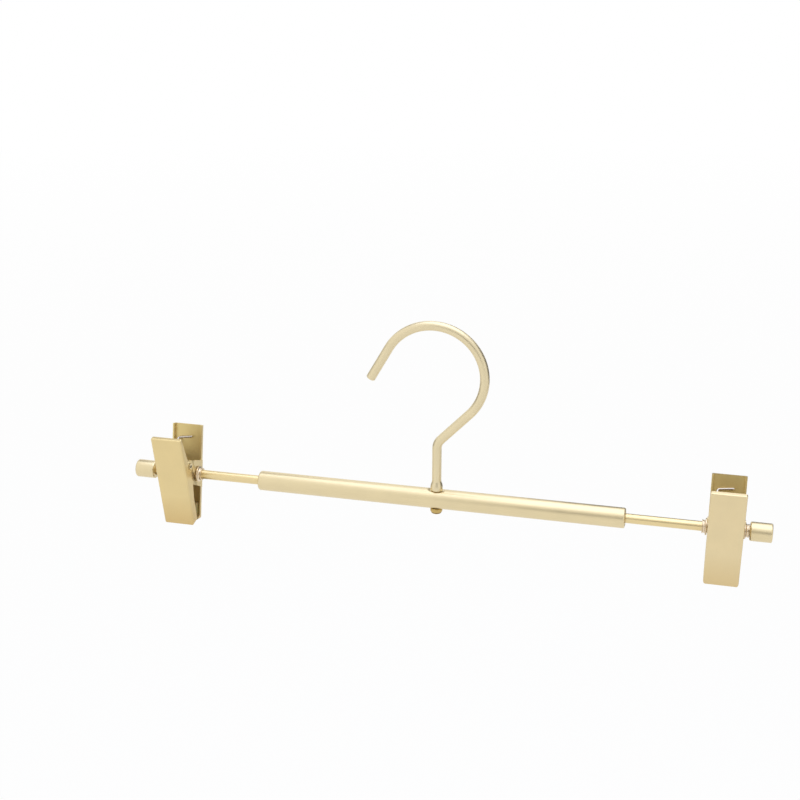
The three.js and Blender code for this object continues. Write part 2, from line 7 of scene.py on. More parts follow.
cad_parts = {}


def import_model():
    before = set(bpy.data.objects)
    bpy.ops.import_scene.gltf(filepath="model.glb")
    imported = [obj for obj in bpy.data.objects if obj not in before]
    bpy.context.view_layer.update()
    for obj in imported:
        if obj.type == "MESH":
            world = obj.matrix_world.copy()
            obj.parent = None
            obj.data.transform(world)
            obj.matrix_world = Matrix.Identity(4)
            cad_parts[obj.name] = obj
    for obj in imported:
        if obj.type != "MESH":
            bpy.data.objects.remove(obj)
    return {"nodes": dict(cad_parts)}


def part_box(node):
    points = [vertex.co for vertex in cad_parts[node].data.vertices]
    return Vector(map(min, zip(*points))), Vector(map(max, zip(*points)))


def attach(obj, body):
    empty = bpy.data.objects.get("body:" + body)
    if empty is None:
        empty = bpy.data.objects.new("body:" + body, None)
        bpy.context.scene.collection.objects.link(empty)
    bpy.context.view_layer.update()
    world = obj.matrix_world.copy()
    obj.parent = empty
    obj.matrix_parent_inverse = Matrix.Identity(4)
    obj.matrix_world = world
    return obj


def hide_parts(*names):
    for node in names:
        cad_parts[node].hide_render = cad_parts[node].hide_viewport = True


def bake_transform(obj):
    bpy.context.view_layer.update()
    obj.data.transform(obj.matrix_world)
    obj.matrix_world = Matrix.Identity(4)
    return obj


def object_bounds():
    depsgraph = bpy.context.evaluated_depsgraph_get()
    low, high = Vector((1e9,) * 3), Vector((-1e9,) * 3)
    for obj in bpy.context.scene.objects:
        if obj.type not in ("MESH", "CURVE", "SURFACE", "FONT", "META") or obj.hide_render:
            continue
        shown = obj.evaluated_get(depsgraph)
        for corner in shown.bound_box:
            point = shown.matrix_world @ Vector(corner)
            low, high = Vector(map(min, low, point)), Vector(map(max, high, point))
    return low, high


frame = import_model()
cad_low, cad_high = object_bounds()

MM = 0.001
SIDES = ("left", "right")

# Hook, in the plane of the bar
WIRE_RADIUS = 2.33 * MM
HOOK_RADIUS = 25.6 * MM
HOOK_OFFSET = -2.4 * MM
NECK_FOOT = 29.8 * MM
NECK_LENGTH = 22.95 * MM
NECK_BEND = 6.5 * MM
TIP_LENGTH = 18.7 * MM
TIP_ANGLE = math.radians(150)
TIP_ROUNDING = 0.6 * MM
SHOULDER_RADIUS = 3.09 * MM
SHOULDER_BAND = 1.9 * MM
SHOULDER_FLARE = 3.5 * MM
SHOULDER_EDGE = 0.5 * MM
TENON_RADIUS = 1.8 * MM
HEAD_RADIUS = 2.58 * MM
HEAD_DOME = math.radians(78)
WASHER_EDGE = 0.6 * MM
SEAT_GAP = 0.3 * MM
TURN_GAP = 0.2 * MM
STRETCH_GAP = 1.0 * MM

# Tube, plugs, rods and knobs
TUBE_WALL = 1.2 * MM
TUBE_EDGE = 0.9 * MM
BORE_EDGE = 0.3 * MM
SEAT_DEPTH = 0.6 * MM
SEAT_RADIUS = 3.35 * MM
SEAT_BLEND = 1.3 * MM
SEAT_STEPS = 64
BORE_OVERRUN = 2.5 * MM
PLUG_EDGE = 0.4 * MM
ROD_EDGE = 0.3 * MM
KNOB_EDGE = 0.75 * MM
KNOB_BORE_DEPTH = 6.8 * MM

# Clip
FRONT_TILT = math.radians(11.8)
REAR_TILT = math.radians(-10.9)
ROD_DEPTH = 6.5 * MM
PIVOT_DEPTH = 6.4 * MM
FRONT_RISE = 19.2 * MM
FRONT_DROP = 33.4 * MM
REAR_RISE = 25.0 * MM
REAR_DROP = 25.8 * MM
SHEET = 0.8 * MM
SHEET_EDGE = 0.14 * MM
SLEEVE_WALL = 0.5 * MM
SLEEVE_GAP = 0.15 * MM
COLLAR_RADIUS = 3.05 * MM
RIM_THICKNESS = 0.8 * MM
RIM_EDGE = 0.3 * MM
RIM_BACK_EDGE = 0.27 * MM
FLARE_LENGTH = 0.8 * MM
COLLAR_LENGTH = 0.3 * MM
BEAD_RADIUS = 3.3 * MM
BEAD_EDGE = 0.15 * MM
BEAD_FOOT_EDGE = 0.09 * MM
PIN_RADIUS = 1.2 * MM
PIN_BORE = 0.85 * MM
PIN_HEAD = 0.3 * MM
PIN_EDGE = 0.1 * MM

# Spring
SPRING_WIRE = 0.6 * MM
SPRING_RADIUS = 2.9 * MM
SPRING_CURLS = 6
SPRING_MARGIN = 0.7 * MM
SPRING_BAR_DROP = 7.4 * MM
SPRING_BAR_TILT = math.radians(7)
SPRING_BAR_LENGTH = 7.8 * MM
SPRING_BEND = 1.0 * MM
SPRING_END = 0.48 * MM

# Grip pads
PAD_HEIGHT = 7.6 * MM
PAD_EDGE = 0.7 * MM
PAD_ROUNDING = 0.25 * MM
PAD_RIBS = 5
PAD_RIB_DEPTH = 0.35 * MM
RIB_STEPS = 8

# Facets: sides and steps of round forms, and the angles that count as edges
ROUND = 96
WIRE_ROUND = 40
SPRING_ROUND = 16
CURL_STEPS = 40
ARC_STEPS = 120
BEND_STEPS = 14
FILLET_STEPS = 6
CREASE = math.radians(38)
FLAT_ANGLE = math.radians(1)
SHEET_EDGE_ANGLE = math.radians(40)
PAD_EDGE_ANGLE = math.radians(50)
BEVEL_SEGMENTS = 3
WELD_DISTANCE = 0.002 * MM
NEARLY_PARALLEL = 0.9

# Sockets of the mix node that hold colours
MIX_FIRST = 6
MIX_SECOND = 7
MIX_RESULT = 2

# The standard curve from a written colour to linear light
CODE_STEPS = 255
CURVE_START = 0.04045
CURVE_SLOPE = 12.92
CURVE_OFFSET = 0.055
CURVE_POWER = 2.4

# Plating: noise scales per metre, shares of the written colour and steps of roughness
NOISE_DETAIL = 2.0
NOISE_START = 0.3
NOISE_END = 0.7
CLOUD_SCALE = 95.0
CLOUD_DETAIL = 3.0
CLOUD_SHARES = (0.975, 1.025)
CLOUD_ROUGHNESS = 0.02
LINE_SCALE = 2600.0
LINE_STRETCH = (0.012, 1.0, 1.0)
LINE_ROUGHNESS = 0.035
GRAIN_SCALE = 5200.0
GRAIN_DETAIL = 1.0
GRAIN_HEIGHT = 0.004 * MM
GRAIN_STRENGTH = 0.25

# Jaws: drawn lines down the sheet, painted shade on the inner side, painted shade towards the tip, and
# worn edges
JAW_STRETCH = (1.0, 1.0, 0.02)
# Painted shade: how far a face turns inward along Y before it takes the darker inner colour
INNER_SHADE_FACING = (0.5, 0.8)
# Painted shade: the heights below the bar over which the jaw darkens towards its tip
TIP_SHADE_START = 8.0 * MM
TIP_SHADE_DROP = 30.0 * MM
EDGE_RADIUS = 0.35 * MM
EDGE_SAMPLES = 6
EDGE_BENDS = (0.86, 0.995)
EDGE_WEAR = 0.4
WORN_SHARE = 1.2
JAW_ROUGHNESS = 0.42
JAW_METALLIC = 0.85

# Each jaw's finish: its colours, and which way along Y its inner side faces; the colours hold painted
# light and shade
# inner is painted shade between the jaws, tip painted shade towards the tip, code shifts from jaw to jaw
# as painted light
JAWS = {
    "left_front_jaw": {
        "finish": "champagne_jaw.1", "inward": 1,
        "code": "#ebd59e", "inner": "#c2a672", "tip": "#d9bb80",
    },
    "left_rear_jaw": {
        "finish": "champagne_jaw.2", "inward": -1,
        "code": "#ebd7a4", "inner": "#e4cf90", "tip": "#dcc28b",
    },
    "right_front_jaw": {
        "finish": "champagne_jaw.3", "inward": 1,
        "code": "#ebd8ac", "inner": "#c2a672", "tip": "#dfc692",
    },
    "right_rear_jaw": {
        "finish": "champagne_jaw.4", "inward": -1,
        "code": "#ebd7a4", "inner": "#e0ca8a", "tip": "#dcc28b",
    },
}

# Pads
PAD_CLOUD_SCALE = 260.0
PAD_CLOUD_SHARES = (0.93, 1.04)
PAD_GRAIN_SCALE = 3800.0
PAD_GRAIN_HEIGHT = 0.008 * MM
PAD_GRAIN_STRENGTH = 0.4
PAD_ROUGHNESS = (0.42, 0.56)
PAD_IOR = 1.5
PAD_MILKINESS = 0.35
PAD_MILK_DEPTH = 1.2 * MM

# Floor and sky, in metres and as shares of white
FLOOR_DROP = 0.33
FLOOR_SIZE = 60.0
FLOOR_COLOUR = "#f3f3f3"
FLOOR_WHITE_SHARE = 0.95
FLOOR_NEAR = 0.8
FLOOR_FAR = 4.0
WORLD_LEVEL = 0.6
WHITE = (1.0, 1.0, 1.0, 1.0)

# Cards, as azimuths and elevations in degrees seen from the bar, and a tone
CARD_DISTANCE = 1.4
CARDS = {
    "card_behind_camera": ((-5, 22), (8, 31), "#8a8a8a"),
    "card_below_camera": ((10, 36), (3, 15), "#242424"),
    "card_at_right": ((100, 148), (-14, 32), "#484848"),
    "card_behind_right": ((148, 184), (-38, 2), "#5c5c5c"),
    "card_at_left": ((-130, -85), (-14, 10), "#8c8c8c"),
    "card_behind": ((162, 185), (2, 34), "#404040"),
    "card_behind_left": ((214, 238), (20, 52), "#808080"),
}

# Lamps, as place and size in metres, power in watts and colour
LAMPS = {
    "overhead": {"place": (0.08, 0.05, 0.95), "size": (1.36, 1.2), "power": 6.1, "code": "#d4dfff"},
    "front": {"place": (-0.7, -1.1, 0.35), "size": (0.8, 0.8), "power": 4.0, "mirrored": False},
}

# Camera, from points on the bar, the hook and the clips in the photograph, with angles in degrees
# and the pixel that the bar's middle falls on
PHOTO_SIZE = 800
SENSOR = 36.0
FOCAL_PIXELS = 1263.1
CAMERA_DISTANCE = 633.5 * MM
CAMERA_AZIMUTH = 14.54
CAMERA_ELEVATION = 19.26
MIDDLE_PIXEL = (436.5, 498.5)
CLIP_START = 0.01
CLIP_END = 100.0

# Places read from the frame
tube_low, tube_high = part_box("centre_tube")
BAR_AXIS = Vector((0, 0, (tube_low.z + tube_high.z) / 2))
TUBE_RADIUS = (tube_high.z - tube_low.z) / 2
TUBE_END = tube_high.x
ROD_PLACE = Vector((0, BAR_AXIS.z))
SHOULDER_FOOT = TUBE_RADIUS - SEAT_DEPTH + SEAT_GAP


def middle(node):
    """The middle of a node's box."""
    low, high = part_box(node)
    return (low + high) / 2


def size_of(node):
    """The three sizes of a node's box."""
    low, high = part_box(node)
    return high - low


def ends(node):
    """How far a node's nearest and farthest ends are from the bar's middle, along the bar."""
    low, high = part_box(node)
    return sorted((abs(low.x), abs(high.x)))


def pivot_place(side):
    """Depth and height of a clip's pivot."""
    return Vector(middle(f"{side}_pivot_pin").yz)


# Points, outlines and solids of revolution

def tangent_angle(point, centre, radius, side):
    """Angle, seen from a circle's centre, at which a line from an outside point touches it."""
    away = Vector(point) - Vector(centre)
    return math.atan2(away.y, away.x) + side * math.acos(radius / away.length)


def on_circle(centre, radius, angle):
    """The point of a circle at an angle."""
    return Vector((centre[0] + radius * math.cos(angle), centre[1] + radius * math.sin(angle)))


def spaced(first, last, steps):
    """Even steps from a first to a last value, with both."""
    return [first + (last - first) * i / steps for i in range(steps + 1)]


def smooth(share):
    """A share from 0 to 1 that starts and ends level."""
    return share * share * (3 - 2 * share)


def fillet(corners, closed=False):
    """Rounds an outline's corners. A corner is (a, b) or (a, b, radius)."""
    points = []
    count = len(corners)
    for i, (a, b, *radius) in enumerate(corners):
        here = Vector((a, b))
        if not radius or (not closed and i in (0, count - 1)):
            points.append(here)
            continue
        before = (Vector(corners[i - 1][:2]) - here).normalized()
        after = (Vector(corners[(i + 1) % count][:2]) - here).normalized()
        half = before.angle(after) / 2
        centre = here + (before + after).normalized() * radius[0] / math.sin(half)
        reach = radius[0] / math.tan(half)
        first = (here + before * reach - centre).normalized()
        last = (here + after * reach - centre).normalized()
        for k in range(FILLET_STEPS + 1):
            points.append(centre + first.slerp(last, k / FILLET_STEPS) * radius[0])
    return points


def both_ends(half):
    """An outline drawn for one end of a piece, with its mirror image for the other end."""
    return half + [(-along, *rest) for along, *rest in reversed(half)]


def revolve(profile, sides=ROUND, closed=False):
    """Vertices and faces of (along, radius) points turned about X. A radius of zero is a pole."""
    vertices, rings = [], []
    for along, radius in profile:
        if radius == 0:
            rings.append([len(vertices)] * sides)
            vertices.append(Vector((along, 0, 0)))
            continue
        rings.append([len(vertices) + i for i in range(sides)])
        for i in range(sides):
            angle = math.tau * i / sides
            vertices.append(Vector((along, radius * math.cos(angle), radius * math.sin(angle))))
    pairs = list(zip(rings, rings[1:]))
    if closed:
        pairs.append((rings[-1], rings[0]))
    faces = []
    for low, high in pairs:
        for i in range(sides):
            j = (i + 1) % sides
            face = dict.fromkeys((low[i], low[j], high[j], high[i]))
            faces.append(tuple(face))
    return vertices, faces


def placed(shape, centre, hand=1, upright=False):
    """Moves a shape drawn about X to its place, mirrored for the left side or turned upright."""
    vertices, faces = shape
    turn = Matrix.Rotation(-math.pi / 2, 3, "Y") if upright else Matrix.Diagonal((hand, 1, 1))
    return [centre + turn @ v for v in vertices], faces


def sweep(points, radii, sides):
    """Vertices, faces and wire coordinates of a round section carried along points, with flat ends."""
    vertices, faces, wire = [], [], []
    length = 0.0
    across = None
    for i, point in enumerate(points):
        along = (points[min(i + 1, len(points) - 1)] - points[max(i - 1, 0)]).normalized()
        if i:
            length += (point - points[i - 1]).length
        if across is None:
            helper = Vector((0, 1, 0)) if abs(along.y) < NEARLY_PARALLEL else Vector((0, 0, 1))
            across = helper.cross(along).normalized()
        across = (across - along * across.dot(along)).normalized()
        other = along.cross(across)
        for k in range(sides):
            angle = math.tau * k / sides
            spoke = across * math.cos(angle) + other * math.sin(angle)
            vertices.append(point + spoke * radii[i])
            wire.append(Vector((length, radii[i] * math.cos(angle), radii[i] * math.sin(angle))))
    for i in range(len(points) - 1):
        for k in range(sides):
            a, b = i * sides + k, i * sides + (k + 1) % sides
            faces.append((a, b, b + sides, a + sides))
    faces.append(tuple(range(sides)))
    faces.append(tuple(range((len(points) - 1) * sides, len(points) * sides)))
    return vertices, faces, wire


# Pieces

def add_object(name, data):
    """Puts a new object into the scene."""
    made = bpy.data.objects.new(name, data)
    bpy.context.scene.collection.objects.link(made)
    return made


def new_mesh(name, vertices, faces):
    """A smooth mesh with its faces pointing out and its creases sharp."""
    mesh = bpy.data.meshes.new(name)
    mesh.from_pydata([tuple(v) for v in vertices], [], faces)
    edit = bmesh.new()
    edit.from_mesh(mesh)
    bmesh.ops.recalc_face_normals(edit, faces=edit.faces)
    edit.to_mesh(mesh)
    edit.free()
    mesh.shade_smooth()
    mesh.set_sharp_from_angle(angle=CREASE)
    return mesh


def new_piece(name, shape, finish, nodes):
    """A piece that stands for CAD nodes."""
    vertices, faces, *wire = shape
    mesh = new_mesh(name, vertices, faces)
    if wire:
        attribute = mesh.attributes.new("wire", "FLOAT_VECTOR", "POINT")
        attribute.data.foreach_set("vector", [x for v in wire[0] for x in v])
    piece = add_object(name, mesh)
    mesh.materials.append(finish)
    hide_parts(*nodes)
    return piece


def cut(piece, shape):
    """Cuts a shape out of a piece."""
    cutter = add_object("cutter", new_mesh("cutter", *shape))
    modifier = piece.modifiers.new("cut", "BOOLEAN")
    modifier.object = cutter
    modifier.solver = "EXACT"
    evaluated = piece.evaluated_get(bpy.context.evaluated_depsgraph_get())
    old = piece.data
    piece.data = bpy.data.meshes.new_from_object(evaluated)
    piece.modifiers.clear()
    bpy.data.meshes.remove(old)
    bpy.data.objects.remove(cutter)
    piece.data.set_sharp_from_angle(angle=CREASE)


def soften(piece, width, angle):
    """Rounds the edges of a piece that turn by more than an angle."""
    bevel = piece.modifiers.new("bevel", "BEVEL")
    bevel.width = width
    bevel.segments = BEVEL_SEGMENTS
    bevel.limit_method = "ANGLE"
    bevel.angle_limit = angle


# Materials

def colour(code, share=1.0):
    """A hex colour as linear red, green, blue and alpha, made darker or lighter by a share."""
    linear = []
    for start in (1, 3, 5):
        part = int(code[start:start + 2], 16) / CODE_STEPS
        curved = ((part + CURVE_OFFSET) / (1 + CURVE_OFFSET)) ** CURVE_POWER
        linear.append(part / CURVE_SLOPE if part <= CURVE_START else curved)
    return (*[min(1.0, value * share) for value in linear], 1.0)


class Nodes:
    """The node tree of a material or a world, built up call by call."""

    def __init__(self, owner):
        self.owner = owner
        owner.use_nodes = True
        self.tree = owner.node_tree
        self.tree.nodes.clear()

    def add(self, kind, inputs=(), **settings):
        node = self.tree.nodes.new(kind)
        for key, value in settings.items():
            setattr(node, key, value)
        for key, value in dict(inputs).items():
            if isinstance(value, bpy.types.NodeSocket):
                self.tree.links.new(value, node.inputs[key])
            else:
                node.inputs[key].default_value = value
        return node

    def noise(self, place, scale, detail=NOISE_DETAIL, stretch=None):
        if stretch:
            place = self.add("ShaderNodeMapping", {"Vector": place, "Scale": stretch}).outputs["Vector"]
        made = self.add("ShaderNodeTexNoise", {"Vector": place, "Scale": scale, "Detail": detail})
        return made.outputs["Fac"]

    def span(self, value, low, high, start=NOISE_START, end=NOISE_END):
        """A value that goes from low to high while another goes from start to end."""
        made = self.add("ShaderNodeMapRange", {
            "Value": value,
            "From Min": start,
            "From Max": end,
            "To Min": low,
            "To Max": high,
        })
        return made.outputs["Result"]

    def mix(self, share, first, second):
        inputs = {0: share, MIX_FIRST: first, MIX_SECOND: second}
        return self.add("ShaderNodeMix", inputs, data_type="RGBA").outputs[MIX_RESULT]

    def cloudy(self, clouds, code, shares):
        """A colour that goes from one share of itself to another with the clouds."""
        dark, light = [colour(code, share) for share in shares]
        return self.mix(self.span(clouds, 0.0, 1.0), dark, light)

    def combine(self, first, second, operation="ADD"):
        return self.add("ShaderNodeMath", {0: first, 1: second}, operation=operation).outputs[0]

    def edges(self, radius):
        """1 on an edge's rounding, falling to 0 on the flats beside it."""
        soft = self.add("ShaderNodeBevel", {"Radius": radius}, samples=EDGE_SAMPLES).outputs["Normal"]
        flat = self.add("ShaderNodeNewGeometry").outputs["Normal"]
        made = self.add("ShaderNodeVectorMath", {0: soft, 1: flat}, operation="DOT_PRODUCT")
        start, end = EDGE_BENDS
        return self.span(made.outputs["Value"], 1.0, 0.0, start=start, end=end)

    def seen_or_mirrored(self):
        """1 for rays from the camera, from gloss and through glass."""
        path = self.add("ShaderNodeLightPath").outputs
        seen = self.combine(path["Is Camera Ray"], path["Is Glossy Ray"], "MAXIMUM")
        return self.combine(seen, path["Is Transmission Ray"], "MAXIMUM")

    def end(self, shader, kind="ShaderNodeOutputMaterial"):
        output = self.add(kind)
        self.tree.links.new(shader, output.inputs["Surface"])
        return self.owner


def jaw_tone_with_painted_shade(finish, place, tone, jaw):
    """Gives a jaw's tone painted shade towards its tip and on its inner side, and worn edges."""
    height = finish.add("ShaderNodeSeparateXYZ", {0: place}).outputs["Z"]
    # Painted shade: darker towards the tip
    tip = finish.span(height, 1.0, 0.0, start=BAR_AXIS.z - TIP_SHADE_DROP, end=BAR_AXIS.z - TIP_SHADE_START)
    tone = finish.mix(tip, tone, colour(jaw["tip"]))
    facing = finish.add("ShaderNodeTexCoord").outputs["Normal"]
    facing = finish.add("ShaderNodeSeparateXYZ", {0: facing}).outputs["Y"]
    # Painted shade: the faces that turn inward, between the jaws, take the darker inner colour
    start, end = [jaw["inward"] * share for share in INNER_SHADE_FACING]
    inner = finish.span(facing, 0.0, 1.0, start=start, end=end)
    tone = finish.mix(inner, tone, colour(jaw["inner"]))
    wear = finish.combine(finish.edges(EDGE_RADIUS), EDGE_WEAR, "MULTIPLY")
    return finish.mix(wear, tone, colour(jaw["code"], WORN_SHARE))


def satin_metal(name, code, roughness, metallic, wire=False, jaw=None):
    """Satin plating: cloudy tone, fine lines along the way it was drawn and a blasted grain."""
    finish = Nodes(bpy.data.materials.new(name))
    if wire:
        place = finish.add("ShaderNodeAttribute", attribute_name="wire").outputs["Vector"]
    else:
        place = finish.add("ShaderNodeTexCoord").outputs["Object"]
    clouds = finish.noise(place, CLOUD_SCALE, CLOUD_DETAIL)
    lines = finish.noise(place, LINE_SCALE, stretch=JAW_STRETCH if jaw else LINE_STRETCH)
    grain = finish.noise(place, GRAIN_SCALE, GRAIN_DETAIL)
    tone = finish.cloudy(clouds, code, CLOUD_SHARES)
    if jaw:
        tone = jaw_tone_with_painted_shade(finish, place, tone, jaw)
    rough = finish.combine(
        finish.span(lines, roughness - LINE_ROUGHNESS, roughness + LINE_ROUGHNESS),
        finish.span(clouds, -CLOUD_ROUGHNESS, CLOUD_ROUGHNESS),
    )
    bump = finish.add("ShaderNodeBump", {
        "Height": finish.combine(grain, lines),
        "Strength": GRAIN_STRENGTH,
        "Distance": GRAIN_HEIGHT,
    })
    shader = finish.add("ShaderNodeBsdfPrincipled", {
        "Base Color": tone,
        "Metallic": metallic,
        "Roughness": rough,
        "Normal": bump.outputs["Normal"],
    })
    return finish.end(shader.outputs["BSDF"])


def grip_plastic(name, code):
    """Milky soft plastic, a little see-through, with a fine moulded grain."""
    finish = Nodes(bpy.data.materials.new(name))
    place = finish.add("ShaderNodeTexCoord").outputs["Object"]
    clouds = finish.noise(place, PAD_CLOUD_SCALE)
    grain = finish.noise(place, PAD_GRAIN_SCALE)
    tone = finish.cloudy(clouds, code, PAD_CLOUD_SHARES)
    bump = finish.add("ShaderNodeBump", {
        "Height": grain,
        "Strength": PAD_GRAIN_STRENGTH,
        "Distance": PAD_GRAIN_HEIGHT,
    })
    shader = finish.add("ShaderNodeBsdfPrincipled", {
        "Base Color": tone,
        "Roughness": finish.span(grain, *PAD_ROUGHNESS),
        "IOR": PAD_IOR,
        "Subsurface Weight": PAD_MILKINESS,
        "Subsurface Scale": PAD_MILK_DEPTH,
        "Normal": bump.outputs["Normal"],
    })
    return finish.end(shader.outputs["BSDF"])


champagne = satin_metal("champagne", "#e9d8ae", roughness=0.36, metallic=0.85)
champagne_wire = satin_metal("champagne.wire", "#e9dab4", roughness=0.36, metallic=0.85, wire=True)
champagne_rod = satin_metal("champagne.rod", "#ecd7a4", roughness=0.32, metallic=0.9)
# Painted shade: a dark finish that stands in for the shade inside the rivet's bore
bore_painted_shade = satin_metal("champagne.bore_painted_shade", "#33260f", roughness=0.5, metallic=0.6)
jaw_finishes = {}
for jaw_node, jaw_look in JAWS.items():
    jaw_finishes[jaw_node] = satin_metal(
        jaw_look["finish"], jaw_look["code"], JAW_ROUGHNESS, JAW_METALLIC, jaw=jaw_look,
    )
warm_gold = satin_metal("warm_gold", "#c9ad6c", roughness=0.32, metallic=0.95)
pale_plated = satin_metal("pale_plated", "#e6d3b4", roughness=0.28, metallic=0.9)
bare_steel = satin_metal("bare_steel", "#c9c0b6", roughness=0.24, metallic=1.0, wire=True)
soft_pad = grip_plastic("soft_pad", "#a8945c")


# Hook

def hook_line():
    """The wire's centreline in the bar's plane, from its tip to the bend above the stem."""
    height = NECK_FOOT + math.sqrt(HOOK_RADIUS ** 2 + NECK_LENGTH ** 2 - HOOK_OFFSET ** 2)
    centre = (HOOK_OFFSET, height)
    neck_angle = tangent_angle((0, NECK_FOOT), centre, HOOK_RADIUS, 1)
    tip_way = Vector((math.sin(TIP_ANGLE), -math.cos(TIP_ANGLE)))
    tip_start = on_circle(centre, HOOK_RADIUS, TIP_ANGLE)
    line = spaced(tip_start - tip_way * TIP_LENGTH, tip_start - tip_way * STRETCH_GAP, BEND_STEPS)
    line += [on_circle(centre, HOOK_RADIUS, a) for a in spaced(TIP_ANGLE, neck_angle, ARC_STEPS)]
    neck_way = Vector((math.sin(neck_angle), -math.cos(neck_angle)))
    turn = math.atan2(-neck_way.x, -neck_way.y)
    top = NECK_FOOT - NECK_BEND * math.tan(turn / 2)
    bend = [on_circle((NECK_BEND, top), NECK_BEND, math.pi - a) for a in spaced(turn, 0, BEND_STEPS)]
    line += spaced(line[-1] + neck_way * STRETCH_GAP, bend[0] - neck_way * STRETCH_GAP, BEND_STEPS)
    return line + bend


def hook():
    """The wire from its rounded tip to the swelled shoulder on the tube."""
    wire = hook_line()
    tip_way = (wire[1] - wire[0]).normalized()
    line, radii = [], []
    for a in spaced(math.pi / 2, 0, FILLET_STEPS):
        line.append(wire[0] + tip_way * TIP_ROUNDING * (1 - math.sin(a)))
        radii.append(WIRE_RADIUS - TIP_ROUNDING * (1 - math.cos(a)))
    top = SHOULDER_FOOT + SHOULDER_BAND + SHOULDER_FLARE
    stem = spaced(wire[-1] - Vector((0, STRETCH_GAP)), Vector((0, top + STRETCH_GAP)), BEND_STEPS)
    line += wire[1:] + stem
    radii += [WIRE_RADIUS] * len(wire[1:] + stem)
    for share in spaced(0, 1, BEND_STEPS):
        line.append(Vector((0, top - SHOULDER_FLARE * share)))
        radii.append(WIRE_RADIUS + (SHOULDER_RADIUS - WIRE_RADIUS) * smooth(share))
    for a in spaced(0, math.pi / 2, FILLET_STEPS):
        line.append(Vector((0, SHOULDER_FOOT + SHOULDER_EDGE * (1 - math.sin(a)))))
        radii.append(SHOULDER_RADIUS - SHOULDER_EDGE * (1 - math.cos(a)))
    points = [BAR_AXIS + Vector((p.x, 0, p.y)) for p in line]
    piece = new_piece("hook", sweep(points, radii, WIRE_ROUND), champagne_wire, ["hook_wire"])
    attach(piece, "hook")


def stem_rivet():
    """The stem's thinner end below the shoulder, with its riveted head under the washer."""
    washer_low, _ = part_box("stem_washer")
    hook_low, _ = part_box("hook_wire")
    head_top = washer_low.z - SEAT_GAP - BAR_AXIS.z
    head_low = hook_low.z - BAR_AXIS.z
    depth = head_top - head_low
    profile = []
    for a in spaced(0, HEAD_DOME, BEND_STEPS):
        profile.append((head_low + depth * (1 - math.cos(a)), HEAD_RADIUS * math.sin(a)))
    profile += [(head_top, profile[-1][1]), (head_top, TENON_RADIUS)]
    profile += [(SHOULDER_FOOT, TENON_RADIUS), (SHOULDER_FOOT, 0)]
    shape = placed(revolve(profile), BAR_AXIS, upright=True)
    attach(new_piece("stem_rivet", shape, warm_gold, ["hook_wire"]), "hook")


def washer():
    """The washer between the tube and the riveted head."""
    low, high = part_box("stem_washer")
    radius = (high.x - low.x) / 2
    bore = TENON_RADIUS + TURN_GAP
    low_z, high_z = low.z - BAR_AXIS.z, high.z - BAR_AXIS.z
    corners = [
        (low_z, bore, BORE_EDGE),
        (low_z, radius, WASHER_EDGE),
        (high_z, radius, WASHER_EDGE),
        (high_z, bore, BORE_EDGE),
    ]
    shape = placed(revolve(fillet(corners, closed=True), closed=True), BAR_AXIS, upright=True)
    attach(new_piece("washer", shape, warm_gold, ["stem_washer"]), "hook")


# Bar

def seat_height(x, y, z):
    """Presses the tube's wall in round the stem, flat in the middle and smooth at the edge."""
    seat = TUBE_RADIUS - SEAT_DEPTH
    if abs(z) <= seat:
        return z
    share = min(1.0, max(0.0, (math.hypot(x, y) - SEAT_RADIUS) / SEAT_BLEND))
    return math.copysign(seat + (abs(z) - seat) * smooth(share), z)


def centre_tube():
    """The tube with rolled ends, a pressed seat above and below, and a hole for the stem."""
    inner = TUBE_RADIUS - TUBE_WALL
    reach = SEAT_RADIUS + SEAT_BLEND
    far = fillet([
        (TUBE_END / 2, inner),
        (TUBE_END, inner, BORE_EDGE),
        (TUBE_END, TUBE_RADIUS, TUBE_EDGE),
        (TUBE_END / 2, TUBE_RADIUS),
    ])[1:-1]
    outside = [Vector((x, TUBE_RADIUS)) for x in spaced(reach, -reach, SEAT_STEPS)]
    inside = [Vector((x, inner)) for x in (-TUBE_END / 2, TUBE_END / 2)]
    near = [Vector((-p.x, p.y)) for p in reversed(far)]
    profile = far + outside + near + inside
    vertices, faces = revolve(profile, closed=True)
    pressed = [Vector((v.x, v.y, seat_height(*v))) if abs(v.x) < reach else v for v in vertices]
    piece = new_piece("centre_tube_skin", placed((pressed, faces), BAR_AXIS), champagne, ["centre_tube"])
    beyond = TUBE_RADIUS + BORE_OVERRUN
    bore = TENON_RADIUS + TURN_GAP
    hole = revolve([(-beyond, 0), (-beyond, bore), (beyond, bore), (beyond, 0)])
    cut(piece, placed(hole, BAR_AXIS, upright=True))
    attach(piece, "bar")


